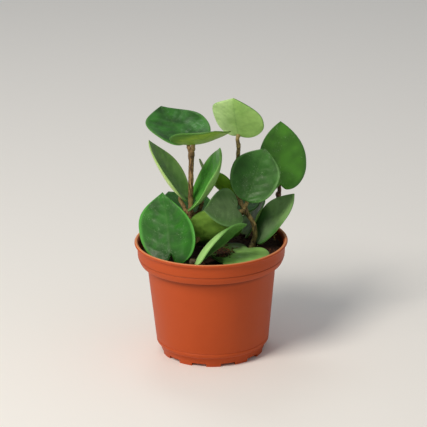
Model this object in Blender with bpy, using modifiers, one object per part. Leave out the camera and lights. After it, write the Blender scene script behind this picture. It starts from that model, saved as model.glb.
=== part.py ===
"""Potted hoya: a small wax plant in a terracotta-coloured plastic nursery pot.

The pot is a turned shell with a thin rolled lip, a tall rim band, a step in to a
tapering body and a notched foot. It is filled with soil. Four woody vines stand in
the soil, and eighteen thick, cupped leaves sit on their stalks, two at a node.

Everything is modelled in metres with +Z up. The origin is on the pot's axis, on the
surface that the pot stands on. The photograph looks along +Y, from a little above.
"""

import math

import bmesh
import bpy
import numpy as np
from mathutils import Matrix, Vector

# Driving dimensions, in millimetres and degrees

MM = 0.001

RIM_RADIUS = 54.0
POT_HEIGHT = 82.5
WALL = 1.1
BODY_TOP_RADIUS = 45.5
BODY_BOTTOM_RADIUS = 40.0
FOOT_RADIUS = 36.5
FLOOR_TOP = 3.6
FLOOR_UNDERSIDE = 2.2
CENTRE_PAD_RADIUS = 9.0
POT_SIDES = 44

NOTCH_COUNT = 11
NOTCH_WIDTH = 10.5
NOTCH_HEIGHT = 2.2
NOTCH_TURN = 0.6
DRAIN_COUNT = 6
DRAIN_RADIUS = 3.5
DRAIN_CIRCLE = 26.0

SOIL_TOP = 74.4
GAP = 0.3

LEAF_THICKNESS = 1.6
LEAF_ROWS = 10
LEAF_COLUMNS = 8
STALK_RADIUS = 1.4
STALK_ARRIVAL = 2.2
STALK_STEP = 2.6
STEM_STEP = 4.0
KNOT_SWELL = 0.6
KNOT_REACH = 2.5
SOCKET_CLEARANCE = 0.35
SOCKET_TOP = SOIL_TOP + 8.0

# Leaves: base and tip of the midrib, the way the upper side faces, and the form.
# cup is how far each half turns up to its margin, right half first, seen from the
# base with the upper side up. bend is the midrib's turn from base to tip, below zero
# where the tip curls up. lobe is how far each basal lobe reaches behind the stalk.
# skew is how far the left half runs ahead, and the right half stays behind.

LEAVES = {
    "leaf_top_left": dict(
        base=(-14, 8, 151), tip=(-34, 48, 166.3), faces=(0.13, -0.25, 0.95),
        width=46, cup=(22, 19), bend=-15, lobe=(2, 2)),
    "leaf_top_front": dict(
        base=(-12, 2, 152), tip=(3, -32, 171), faces=(-0.12, 0.45, 0.88),
        width=43, cup=(22, 20), bend=-8, lobe=(3, 3)),
    "leaf_top_right": dict(
        base=(20.6, 10, 155), tip=(16.6, -9, 187.6), faces=(0.33, 0.81, 0.49),
        width=39.5, cup=(30, 12), bend=-10, lobe=(1, 1), neck=0.2),
    "leaf_right_tall": dict(
        base=(49.5, 24, 113.8), tip=(50, 24, 160.8), faces=(0.20, -0.90, 0.12),
        width=38, cup=(22, 45), bend=-10, lobe=(4, 4), widest=0.35, point=0.95),
    "leaf_centre_round": dict(
        base=(25, 0, 110), tip=(39, 11, 145), faces=(-0.20, -0.93, 0.40),
        width=36, cup=(20, 20), bend=-10, lobe=(0, 0), widest=0.5, neck=0.1),
    "leaf_centre_small": dict(
        base=(18.6, -4, 105.6), tip=(-5.6, -20, 110.8), faces=(0.48, -0.51, 0.72),
        width=31, cup=(40, 12), bend=-5, lobe=(2, 2), widest=0.3, point=1.5, skew=1.5),
    "leaf_front_left": dict(
        base=(-27.8, -24.5, 80.6), tip=(-33.3, -1, 118), faces=(-0.35, -0.72, 0.60),
        width=43, cup=(25, 3), bend=-10, lobe=(9, 5), widest=0.36, neck=0.15, point=1.2, skew=6),
    "leaf_back_left": dict(
        base=(-10, 17, 91), tip=(-30, 45, 103), faces=(0.12, -0.30, 0.90),
        width=40, cup=(20, 20), bend=-10, lobe=(3, 3)),
    "leaf_left_upright": dict(
        base=(-18.2, 9.6, 110.3), tip=(-42.5, 16.6, 150.8), faces=(0.79, -0.14, 0.56),
        width=37, cup=(44, 38), bend=-29, lobe=(3, 3), neck=0.2),
    "leaf_middle_upright": dict(
        base=(-9.6, 4.6, 109.5), tip=(7.2, -3, 150.4), faces=(-0.78, -0.30, 0.50),
        width=37, cup=(66, 22), bend=-56, lobe=(9, 2), point=1.1),
    "leaf_middle_back": dict(
        base=(15.8, 23, 105.8), tip=(-7.2, 29, 132.5), faces=(0.66, 0.36, 0.66),
        width=37, cup=(50, 50), bend=-52, lobe=(2, 2), point=2.0),
    "leaf_hidden_back": dict(
        base=(21, 18, 96.5), tip=(25, 42, 101), faces=(0.00, -0.30, 0.95),
        width=25, cup=(25, 25), bend=-15, lobe=(2, 6)),
    "leaf_low_middle": dict(
        base=(-10, -2, 84), tip=(22, -9, 97), faces=(-0.20, 0.94, 0.26),
        width=38, cup=(35, 62), bend=-15, lobe=(4, 5)),
    "leaf_front_curled": dict(
        base=(-11, -43, 79), tip=(25, -31, 103.8), faces=(0.64, -0.39, -0.67),
        width=34, cup=(38, 30), bend=-62, lobe=(1, 1), twist=20),
    "leaf_front_flat": dict(
        base=(26, -5, 76.5), tip=(8, -40, 78.4), faces=(0.00, 0.00, 1.00),
        width=42, cup=(10, 2), bend=-5, lobe=(5, 5)),
    "leaf_right_low": dict(
        base=(32, 8, 76), tip=(59.3, 16, 109.6), faces=(-0.71, -0.25, 0.65),
        width=37, cup=(25, 25), bend=-10, lobe=(0, 0), widest=0.50, neck=0.1),
    "leaf_right_inner": dict(
        base=(25, 21, 77.7), tip=(38.5, 31, 102.6), faces=(-0.86, -0.15, 0.48),
        width=31, cup=(30, 30), bend=-10, lobe=(3, 1)),
    "leaf_low_back": dict(
        base=(12, 34, 79), tip=(-14, 40, 88), faces=(0.10, -0.20, 0.97),
        width=32, cup=(20, 20), bend=-10, lobe=(3, 3)),
}

# Vines: the way of each main stem with its radius at the foot and at the end, and
# the stalks, each from a point in the stem, by way of free points, to its leaf.

VINES = {
    "vine_left": dict(
        stem=[(-12, 10, 62), (-13, 9, 76), (-13.5, 7, 88), (-14, 5, 100), (-13.5, 5.5, 120),
              (-12.6, 5, 147)],
        radius=(2.0, 1.8),
        knots=[(-14, 5, 99.5), (-13.4, 7.4, 85), (-12.6, 5, 143)],
        stalks={
            "leaf_top_left": [(-12.8, 5, 143), (-14.2, 6.2, 147)],
            "leaf_top_front": [(-12.8, 5, 143), (-11.4, 4, 147.5)],
            "leaf_left_upright": [(-14, 5, 99.5), (-17.2, 5.5, 101), (-18.9, 7.5, 104.5)],
            "leaf_middle_upright": [(-14, 5, 99.5), (-10, 4.5, 99.5), (-7.6, 4.5, 103)],
            "leaf_back_left": [(-13.4, 7.4, 85), (-11.5, 13, 86)],
            "leaf_low_middle": [(-13.4, 7.4, 84), (-15, 3, 80.5), (-13.5, -3, 80)],
        }),
    "vine_centre": dict(
        stem=[(29, 6, 60), (29, 6, 73), (31, 6, 82), (30.5, 6, 90), (27, 6, 97),
              (24, 5, 102), (19.5, 10, 112), (19.8, 16, 134), (20.5, 9, 149)],
        radius=(1.9, 1.4),
        knots=[(24, 5, 102), (29, 6, 74.5), (19.5, 9, 111)],
        stalks={
            "leaf_top_right": [(20.4, 9.4, 147)],
            "leaf_centre_round": [(24, 5, 102), (25, 3.4, 106)],
            "leaf_centre_small": [(24, 5, 102), (21, 0, 102.5)],
            "leaf_middle_back": [(21.5, 7.8, 107), (18.5, 14, 103.5)],
            "leaf_hidden_back": [(27, 6, 97)],
            "leaf_front_flat": [(29, 6, 76.6), (29, 2.5, 76.6), (28, -1, 76.4)],
            "leaf_right_low": [(29, 6, 64), (32, 8, 66), (34, 9, 70)],
        }),
    "vine_right": dict(
        stem=[(29, 27, 64), (30, 29, 76), (35.5, 33, 87), (43, 33.5, 93),
              (48, 31, 99.5), (48.7, 27.7, 106.5)],
        radius=(1.7, 1.4),
        knots=[(30, 29, 76), (48.6, 28.2, 105)],
        stalks={
            "leaf_right_tall": [(48.6, 28.2, 105), (49.2, 26.5, 108.5)],
            "leaf_right_inner": [(30, 29, 76.5), (28, 25, 76.4)],
            "leaf_low_back": [(30, 29, 76.5), (22, 34, 76.4), (15, 34.5, 76.4)],
        }),
    "vine_front": dict(
        stem=[(-22, -18, 62), (-22, -20, 70), (-22, -22, 76)],
        radius=(1.8, 1.6),
        knots=[(-22, -22, 76)],
        stalks={
            "leaf_front_left": [(-22, -21.6, 75.6), (-26, -19, 76)],
            "leaf_front_curled": [(-22, -22, 75), (-17, -34, 74.4), (-14.3, -42, 76.4)],
        }),
}

# Scene, collections and materials

for old in list(bpy.data.objects):
    bpy.data.objects.remove(old, do_unlink=True)

PARTS = bpy.data.collections.new("potted_hoya")
CUTTERS = bpy.data.collections.new("potted_hoya_cutters")
bpy.context.scene.collection.children.link(PARTS)
bpy.context.scene.collection.children.link(CUTTERS)


def material(name, colour, roughness, metallic=0.0):
    """A plain Principled material."""
    made = bpy.data.materials.new(name)
    made.use_nodes = True
    shader = made.node_tree.nodes["Principled BSDF"]
    shader.inputs["Base Color"].default_value = (*colour, 1.0)
    shader.inputs["Roughness"].default_value = roughness
    shader.inputs["Metallic"].default_value = metallic
    return made


POT_PLASTIC = material("pot_plastic", (0.48, 0.11, 0.035), 0.45)
POTTING_SOIL = material("potting_soil", (0.020, 0.014, 0.010), 0.95)
VINE_BARK = material("vine_bark", (0.16, 0.09, 0.045), 0.75)
LEAF_SKIN = material("leaf_skin", (0.05, 0.16, 0.035), 0.35)


def add_object(name, mesh, collection, surface=None):
    """Put a mesh in the scene as a named object."""
    made = bpy.data.objects.new(name, mesh)
    collection.objects.link(made)
    if surface is not None:
        mesh.materials.append(surface)
    return made


def as_cutter(made):
    """Mark an object as a helper that is not a part of the plant."""
    made.hide_render = True
    made.display_type = "WIRE"
    return made


def boolean(target, other, operation):
    """Cut or join with another closed mesh, as a live modifier."""
    modifier = target.modifiers.new(operation.lower() + "_" + other.name, "BOOLEAN")
    modifier.operation = operation
    modifier.object = other
    modifier.solver = "EXACT"
    return modifier


# Pot and soil: turned profiles, radius and height, each down its outer side

def turned(name, profile, surface, sides):
    """Turn a profile of (radius, height) about Z with a Screw modifier."""
    mesh = bpy.data.meshes.new(name)
    points = [(radius * MM, 0.0, height * MM) for radius, height in profile]
    edges = [(i, i + 1) for i in range(len(points) - 1)]
    mesh.from_pydata(points, edges, [])
    made = add_object(name, mesh, PARTS, surface)
    screw = made.modifiers.new("turn", "SCREW")
    screw.axis = "Z"
    screw.steps = sides
    screw.render_steps = sides
    screw.use_merge_vertices = True
    screw.merge_threshold = 0.00001
    screw.use_smooth_shade = True
    return made


def pot_profile():
    """Inner floor, inner wall, lip, rim band, body, foot and underside."""
    lip = POT_HEIGHT
    inner_body_top = BODY_TOP_RADIUS - WALL
    inner_body_bottom = BODY_BOTTOM_RADIUS - WALL - 0.1
    inside = [
        (0.0, FLOOR_TOP),
        (33.6, FLOOR_TOP),
        (35.3, FLOOR_TOP + 2.9),
        (inner_body_bottom - 0.6, 8.4),
        (inner_body_bottom, 9.2),
        (inner_body_top, 67.4),
        (48.8, 67.6),
        (49.2, 68.2),
        (50.6, 72.0),
        (51.0, 79.8),
    ]
    rolled_lip = [
        (51.2, lip - 0.6),
        (52.0, lip - 0.1),
        (52.8, lip),
        (53.6, lip - 0.3),
        (RIM_RADIUS, lip - 1.0),
        (53.6, lip - 1.9),
        (52.5, lip - 2.2),
    ]
    outside = [
        (52.3, lip - 2.8),
        (51.9, 71.7),
        (50.2, 67.2),
        (49.8, 66.7),
        (46.0, 66.5),
        (BODY_TOP_RADIUS, 65.9),
        (BODY_BOTTOM_RADIUS, 8.4),
        (39.4, 7.5),
        (FOOT_RADIUS + 0.6, 6.3),
        (FOOT_RADIUS, 0.0),
    ]
    underside = [
        (33.4, 0.0),
        (33.0, FLOOR_UNDERSIDE),
        (CENTRE_PAD_RADIUS + 0.6, FLOOR_UNDERSIDE),
        (CENTRE_PAD_RADIUS, 0.0),
        (0.0, 0.0),
    ]
    return inside + rolled_lip + outside + underside


def soil_profile():
    """A filling that keeps its gap to the pot all round, a little higher inside."""
    gap = GAP + 0.05
    return [
        (0.0, SOIL_TOP),
        (16.0, SOIL_TOP - 0.2),
        (34.0, SOIL_TOP - 0.8),
        (46.0, SOIL_TOP - 1.6),
        (50.2, SOIL_TOP - 2.2),
        (50.2, 72.0),
        (48.85, 68.5),
        (48.5, 67.6 + gap),
        (BODY_TOP_RADIUS - WALL - gap, 67.4 + gap),
        (BODY_BOTTOM_RADIUS - WALL - 0.1 - gap, 9.3),
        (37.9, 8.7),
        (34.9, FLOOR_TOP + 3.1),
        (33.3, FLOOR_TOP + GAP),
        (0.0, FLOOR_TOP + GAP),
    ]


pot = turned("pot", pot_profile(), POT_PLASTIC, POT_SIDES)
soil = turned("soil", soil_profile(), POTTING_SOIL, 36)

# Notches that leave the feet standing, cut through the foot ring

notch_mesh = bpy.data.meshes.new("foot_notches")
notches = bmesh.new()
for i in range(NOTCH_COUNT):
    turn = math.radians(NOTCH_TURN + (i + 0.5) * 360.0 / NOTCH_COUNT)
    place = (
        Matrix.Rotation(turn, 4, "Z")
        @ Matrix.Translation((0.0, -FOOT_RADIUS * MM, 0.0))
        @ Matrix.Diagonal((NOTCH_WIDTH * MM, 14.0 * MM, 2.0 * NOTCH_HEIGHT * MM, 1.0))
    )
    bmesh.ops.create_cube(notches, size=1.0, matrix=place)
notches.to_mesh(notch_mesh)
notches.free()
boolean(pot, as_cutter(add_object("foot_notches", notch_mesh, CUTTERS)), "DIFFERENCE")

# Drain holes through the floor, inside the foot ring

drain_mesh = bpy.data.meshes.new("drain_holes")
drains = bmesh.new()
for i in range(DRAIN_COUNT):
    turn = math.radians((i + 0.25) * 360.0 / DRAIN_COUNT)
    place = Matrix.Rotation(turn, 4, "Z") @ Matrix.Translation((DRAIN_CIRCLE * MM, 0.0, 3.0 * MM))
    bmesh.ops.create_cone(
        drains,
        cap_ends=True,
        segments=12,
        radius1=DRAIN_RADIUS * MM,
        radius2=DRAIN_RADIUS * MM,
        depth=5.0 * MM,
        matrix=place,
    )
drains.to_mesh(drain_mesh)
drains.free()
boolean(pot, as_cutter(add_object("drain_holes", drain_mesh, CUTTERS)), "DIFFERENCE")

# Leaves

def unit(vector):
    """The vector at length one."""
    vector = np.array(vector, dtype=float)
    return vector / np.linalg.norm(vector)


def leaf_frame(leaf):
    """Midrib direction, direction across to the right half, and upper side."""
    along = unit(np.subtract(leaf["tip"], leaf["base"]))
    across = unit(np.cross(along, leaf["faces"]))
    upper = np.cross(across, along)
    return along, across, upper


def half_width(share, widest, neck, point):
    """Half width at a share of the midrib, as a share of the full half width."""
    if share < widest:
        rise = 1.0 - share / widest
        return neck + (1.0 - neck) * math.sqrt(1.0 - rise * rise)
    fall = (share - widest) / (1.0 - widest)
    return max(math.cos(math.pi / 2 * fall**1.25), 0.0) ** point


def leaf_point(leaf, share, side):
    """A point of the blade: share runs 0 to 1 up the midrib, side -1 to 1 across."""
    along, across, upper = leaf_frame(leaf)
    half = leaf["width"] / 2.0
    chord = float(np.linalg.norm(np.subtract(leaf["tip"], leaf["base"])))
    bend = math.radians(leaf["bend"])
    arc_radius = chord / (2.0 * math.sin(bend / 2.0))
    length = arc_radius * bend
    reach = abs(side)
    lobe = leaf["lobe"][0] if side > 0 else leaf["lobe"][1]
    back = lobe * (1.0 - share) ** 2 * math.sin(math.pi / 2 * reach)
    back += leaf.get("skew", 0.0) * side * math.sin(math.pi * share)
    slope = bend / 2.0 - bend * (share - back / length)
    forward = arc_radius * (math.sin(bend / 2.0) - math.sin(slope))
    rise = arc_radius * (math.cos(slope) - math.cos(bend / 2.0))
    normal = math.cos(slope) * upper - math.sin(slope) * along
    turn = math.radians(leaf.get("twist", 0.0)) * (share - 0.5)
    sideways = math.cos(turn) * across + math.sin(turn) * normal
    normal = math.cos(turn) * normal - math.sin(turn) * across
    width = half * half_width(
        share,
        leaf.get("widest", 0.42),
        leaf.get("neck", 0.3),
        leaf.get("point", 0.95),
    )
    cup = math.radians(leaf["cup"][0] if side > 0 else leaf["cup"][1]) / half
    out = math.sin(cup * reach * width) / cup
    up = (1.0 - math.cos(cup * reach * width)) / cup
    centre = np.array(leaf["base"], dtype=float) + forward * along + rise * upper
    return centre + math.copysign(out, side) * sideways + up * normal


def make_leaf(name, leaf):
    """A blade: a grid laid on the leaf's own surface, thickened by Solidify."""
    sheet = bmesh.new()
    bmesh.ops.create_grid(sheet, x_segments=LEAF_COLUMNS, y_segments=LEAF_ROWS, size=0.5)
    for vertex in sheet.verts:
        place = leaf_point(leaf, min(max(vertex.co.y + 0.5, 0.0), 1.0), 2.0 * vertex.co.x)
        vertex.co = Vector(place) * MM
    bmesh.ops.remove_doubles(sheet, verts=sheet.verts[:], dist=0.00005)
    bmesh.ops.triangulate(sheet, faces=sheet.faces[:])
    bmesh.ops.recalc_face_normals(sheet, faces=sheet.faces[:])
    mesh = bpy.data.meshes.new(name)
    sheet.to_mesh(mesh)
    sheet.free()
    mesh.shade_smooth()
    made = add_object(name, mesh, PARTS, LEAF_SKIN)
    shell = made.modifiers.new("thickness", "SOLIDIFY")
    shell.thickness = LEAF_THICKNESS * MM
    shell.offset = 0.0
    return made


for leaf_name, leaf in LEAVES.items():
    make_leaf(leaf_name, leaf)

# Vines and leaf stalks

def smooth_way(points, step):
    """Points about one step apart on a smooth curve through the given points."""
    way = [np.array(p, dtype=float) for p in points]
    way = [2 * way[0] - way[1]] + way + [2 * way[-1] - way[-2]]
    result = []
    for a, b, c, d in zip(way, way[1:], way[2:], way[3:]):
        count = max(int(round(np.linalg.norm(c - b) / step)), 1)
        for k in range(count):
            t = k / count
            result.append(0.5 * (
                2 * b
                + (c - a) * t
                + (2 * a - 5 * b + 4 * c - d) * t * t
                + (3 * b - a - 3 * c + d) * t**3
            ))
    result.append(way[-2])
    return result


def tube(name, points, radii, collection, extra=0.0):
    """A closed round tube mesh: a bevelled curve with filled caps, welded."""
    curve = bpy.data.curves.new(name, "CURVE")
    curve.dimensions = "3D"
    curve.bevel_depth = 1.0 * MM
    curve.bevel_resolution = 2
    curve.use_fill_caps = True
    spline = curve.splines.new("POLY")
    spline.points.add(len(points) - 1)
    for item, place, radius in zip(spline.points, points, radii):
        item.co = (*(Vector(place) * MM), 1.0)
        item.radius = radius + extra
    source = bpy.data.objects.new(name + "_curve", curve)
    bpy.context.scene.collection.objects.link(source)
    bpy.context.view_layer.update()
    graph = bpy.context.evaluated_depsgraph_get()
    mesh = bpy.data.meshes.new_from_object(source.evaluated_get(graph))
    mesh.name = name
    bpy.data.objects.remove(source, do_unlink=True)
    weld = bmesh.new()
    weld.from_mesh(mesh)
    bmesh.ops.remove_doubles(weld, verts=weld.verts[:], dist=0.000001)
    bmesh.ops.recalc_face_normals(weld, faces=weld.faces[:])
    weld.to_mesh(mesh)
    weld.free()
    return add_object(name, mesh, collection)


def stem_radii(way, vine):
    """The stem tapers from foot to end and swells a little at each knot."""
    foot, end = vine["radius"]
    radii = []
    for i, place in enumerate(way):
        radius = foot + (end - foot) * i / (len(way) - 1)
        for knot in vine["knots"]:
            distance = float(np.linalg.norm(np.subtract(place, knot)))
            radius += KNOT_SWELL * math.exp(-((distance / KNOT_REACH) ** 2))
        radii.append(radius)
    return radii


def stalk_way(points, leaf):
    """A stalk's points, ending just under the blade beside its base."""
    along, across, upper = leaf_frame(leaf)
    arrive = unit(upper + 0.5 * along)
    lean = math.sqrt(1.0 - float(np.dot(arrive, upper)) ** 2)
    below = LEAF_THICKNESS / 2.0 + GAP + STALK_RADIUS * lean
    seat = leaf_point(leaf, 0.035, 0.0) - below * upper
    return smooth_way(list(points) + [seat - STALK_ARRIVAL * arrive, seat], STALK_STEP)


for vine_name, vine in VINES.items():
    way = smooth_way(vine["stem"], STEM_STEP)
    radii = stem_radii(way, vine)
    stem = tube(vine_name, way, radii, PARTS)
    stem.data.materials.append(VINE_BARK)
    buried = [(way, radii, vine_name + "_socket")]
    for leaf_name, points in vine["stalks"].items():
        line = stalk_way(points, LEAVES[leaf_name])
        widths = [STALK_RADIUS] * len(line)
        stalk = as_cutter(tube("stalk_" + leaf_name, line, widths, CUTTERS))
        boolean(stem, stalk, "UNION")
        if min(p[2] for p in line) < SOIL_TOP:
            buried.append((line, widths, "socket_" + leaf_name))
    for line, widths, name in buried:
        low = [i for i, p in enumerate(line) if p[2] < SOCKET_TOP]
        line = [line[i] for i in low]
        widths = [widths[i] for i in low]
        line[0] = line[0] + unit(np.subtract(line[0], line[1])) * GAP * 1.5
        socket = as_cutter(tube(name, line, widths, CUTTERS, extra=SOCKET_CLEARANCE))
        boolean(soil, socket, "DIFFERENCE")
    stem.data.shade_smooth()
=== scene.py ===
# %% [markdown]
# # A potted hoya
# A hoya is a climbing house plant with thick, waxy leaves that stand in pairs on thin woody vines. This one
# grows in a plain round nursery pot of terracotta-coloured plastic, filled almost to its lip with dark mix.
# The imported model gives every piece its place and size. This lesson lays the finished surfaces over it:
# first the camera and light, then the pot, the soil, the leaves, and the vines that carry them.

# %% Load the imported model
import math
import random

import bpy
import numpy as np
from mathutils import Matrix, Vector, noise


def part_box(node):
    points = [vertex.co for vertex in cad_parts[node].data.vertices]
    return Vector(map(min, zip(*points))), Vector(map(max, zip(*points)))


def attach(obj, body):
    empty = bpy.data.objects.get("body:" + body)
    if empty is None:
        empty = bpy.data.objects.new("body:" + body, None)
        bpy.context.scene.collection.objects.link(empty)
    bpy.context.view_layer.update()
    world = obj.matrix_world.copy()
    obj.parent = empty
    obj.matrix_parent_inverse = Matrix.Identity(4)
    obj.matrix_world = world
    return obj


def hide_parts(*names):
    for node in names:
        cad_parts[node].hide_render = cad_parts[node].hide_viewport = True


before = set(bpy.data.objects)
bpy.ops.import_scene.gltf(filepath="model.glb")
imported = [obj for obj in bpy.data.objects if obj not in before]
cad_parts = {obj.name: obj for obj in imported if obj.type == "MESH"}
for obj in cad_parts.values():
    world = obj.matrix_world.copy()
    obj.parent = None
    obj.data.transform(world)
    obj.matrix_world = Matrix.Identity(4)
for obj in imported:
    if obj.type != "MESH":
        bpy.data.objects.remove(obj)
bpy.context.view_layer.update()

MM = 0.001
print("nodes in the frame:", len(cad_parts))

# %% [markdown]
# ## Camera
# The pot is a true circle seen from above, so the camera can be worked out from it: the width of the rim's
# ellipse against its height gives how far the camera looks down, and the way the pot narrows gives the
# distance. The photograph was taken with a long lens, from about 1.4 metres. The camera is built from three
# directions of its own, right, up and back, so the small tilt of the picture is one rotation of two of them.

# %% Camera
def add_object(name, data):
    """A new object in the scene."""
    made = bpy.data.objects.new(name, data)
    bpy.context.scene.collection.objects.link(made)
    return made


IMAGE_SIZE = 427
FOCAL_PIXELS = 2000.0
SENSOR = 36.0
CAMERA_DISTANCE = 1403.0
LOOKS_DOWN = math.radians(19.2)
PICTURE_TILT = math.radians(-0.92)
LOOKS_AT = Vector((2.0, 0.0, 101.25))

camera_data = bpy.data.cameras.new("camera")
camera_data.sensor_width = SENSOR
camera_data.lens = FOCAL_PIXELS * SENSOR / IMAGE_SIZE
camera_data.clip_end = 20.0
camera = add_object("camera", camera_data)

level_right = Vector((1.0, 0.0, 0.0))
level_up = Vector((0.0, math.sin(LOOKS_DOWN), math.cos(LOOKS_DOWN)))
camera_back = Vector((0.0, -math.cos(LOOKS_DOWN), math.sin(LOOKS_DOWN)))
camera_right = math.cos(PICTURE_TILT) * level_right + math.sin(PICTURE_TILT) * level_up
camera_up = math.cos(PICTURE_TILT) * level_up - math.sin(PICTURE_TILT) * level_right
turned_to = Matrix((camera_right, camera_up, camera_back)).transposed().to_4x4()
camera.matrix_world = Matrix.Translation((LOOKS_AT + CAMERA_DISTANCE * camera_back) * MM) @ turned_to
bpy.context.scene.camera = camera
print("lens in mm:", round(camera_data.lens, 1), "camera at", [round(v, 3) for v in camera.location])

# %% [markdown]
# ## Floor and light
# The plant stands on white, in soft light that comes mostly from a window-like lamp, high on the left and in
# front. The floor is one pale plane, big enough to fill the view. An even sky fills the shadows. A low lamp
# on the left lights the undersides of the leaves and the pot's left side, a weak warm one on the right keeps
# that side from going dark, and a small one above and behind gives the leaves their bright edges.

# %% Helpers for objects and the floor
def start_clean():
    """Goes back to object mode with nothing selected, so an operator acts only on what comes next."""
    if bpy.context.object and bpy.context.object.mode != "OBJECT":
        bpy.ops.object.mode_set(mode="OBJECT")
    bpy.ops.object.select_all(action="DESELECT")


def make_active(*pieces):
    """Selects the pieces and makes the first one active."""
    start_clean()
    for piece in pieces:
        piece.select_set(True)
    bpy.context.view_layer.objects.active = pieces[0]
    return pieces[0]


def apply_modifier(piece, kind, **settings):
    """Adds one modifier with its settings and applies it."""
    make_active(piece)
    modifier = piece.modifiers.new(kind.lower(), kind)
    for name, value in settings.items():
        setattr(modifier, name, value)
    bpy.ops.object.modifier_apply(modifier=modifier.name)


def linear(code):
    """An sRGB hex colour such as "#3f7a35" as the linear RGBA that a shader's socket takes."""
    shares = [int(code[i:i + 2], 16) / 255.0 for i in (1, 3, 5)]
    return (*[s / 12.92 if s <= 0.04045 else ((s + 0.055) / 1.055) ** 2.4 for s in shares], 1.0)


def fill(node, inputs):
    """Sets a node's inputs. Each takes a value, or another node's output to link."""
    for name, value in inputs.items():
        if isinstance(value, bpy.types.NodeSocket):
            node.id_data.links.new(value, node.inputs[name])
        else:
            node.inputs[name].default_value = value


def add_node(kind, settings=None, inputs=None, tree=None):
    """Adds a shader node. It joins the tree that its linked inputs come from, or the tree that is given."""
    sources = [value for value in (inputs or {}).values() if isinstance(value, bpy.types.NodeSocket)]
    made = (tree or sources[0].id_data).nodes.new("ShaderNode" + kind)
    for name, value in (settings or {}).items():
        setattr(made, name, value)
    fill(made, inputs or {})
    return made


def new_material(name):
    """A node material and its Principled shader."""
    material = bpy.data.materials.new(name)
    material.use_nodes = True
    return material, material.node_tree.nodes["Principled BSDF"]


def dress(piece, material):
    """Gives a piece its one material."""
    piece.data.materials.clear()
    piece.data.materials.append(material)


FLOOR_SIZE = 12.0
start_clean()
bpy.ops.mesh.primitive_plane_add(size=FLOOR_SIZE, location=(0.0, 0.0, 0.0))
floor = bpy.context.object
floor.name = "floor"
paper, paper_shader = new_material("white_paper")
fill(paper_shader, {"Base Color": linear("#f4f3f0"), "Roughness": 0.9, "Specular IOR Level": 0.1})
dress(floor, paper)
print("floor:", FLOOR_SIZE, "m of white paper")

# %% Light
SKY_STRENGTH = 0.34
LAMPS = dict(
    window_left=dict(at=(-0.77, -0.85, 1.36), size=0.7, power=20.0, colour="#fff6ea"),
    card_left=dict(at=(-1.3, -0.75, 0.2), size=0.6, power=6.0, colour="#fff6ea"),
    fill_right=dict(at=(1.3, -0.9, 0.5), size=1.2, power=0.8, colour="#fff3e8"),
    rim_behind=dict(at=(-0.2, 0.8, 1.45), size=0.5, power=2.2, colour="#ffffff"),
)

world = bpy.data.worlds.new("studio")
bpy.context.scene.world = world
world.use_nodes = True
fill(world.node_tree.nodes["Background"], {"Color": linear("#f2f5f8"), "Strength": SKY_STRENGTH})

for lamp_name, lamp in LAMPS.items():
    lamp_data = bpy.data.lights.new(lamp_name, "AREA")
    lamp_data.shape = "DISK"
    lamp_data.size = lamp["size"]
    lamp_data.energy = lamp["power"]
    lamp_data.color = linear(lamp["colour"])[:3]
    lamp_object = add_object(lamp_name, lamp_data)
    lamp_object.location = lamp["at"]
    towards = LOOKS_AT * MM - Vector(lamp["at"])
    lamp_object.rotation_euler = towards.to_track_quat("-Z", "Y").to_euler()
bpy.context.scene.view_settings.view_transform = "Standard"
print("lamps:", ", ".join(LAMPS))

# %% [markdown]
# ## The pot
# Nursery pots are injection moulded in one piece from polypropylene: a thin wall that tapers so that pots
# stack, a tall stiff band with a rolled lip, and a notched foot ring that lets water run away. Everything but
# the notches and drain holes is round. So a circle is drawn at the middle of the floor, and extruded and
# resized, ring by ring, along the wall's outline: up the inside, over the lip, down the outside and back
# under the floor. A Boolean then cuts the notches and holes, and a small Bevel rounds the edges.

# %% Sizes of the pot, in mm
pot_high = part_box("pot")[1]
RIM_RADIUS = pot_high.x / MM
POT_HEIGHT = pot_high.z / MM
WALL = 1.1
BODY_TOP_RADIUS = 45.5
BODY_BOTTOM_RADIUS = 40.0
FOOT_RADIUS = 36.5
FLOOR_TOP = 3.6
FLOOR_UNDERSIDE = 2.2
CENTRE_PAD_RADIUS = 9.0
LIP_ROUND = 1.2
POT_SIDES = 144
POLE_RADIUS = 0.4
print("rim radius and height:", round(RIM_RADIUS, 1), round(POT_HEIGHT, 1))


# %% The turning helper
def arc(centre, radius, start, end, steps):
    """Outline points on an arc, from one angle to another, in degrees."""
    angles = [math.radians(start + (end - start) * i / steps) for i in range(steps + 1)]
    return [(centre[0] + radius * math.cos(a), centre[1] + radius * math.sin(a)) for a in angles]


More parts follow.
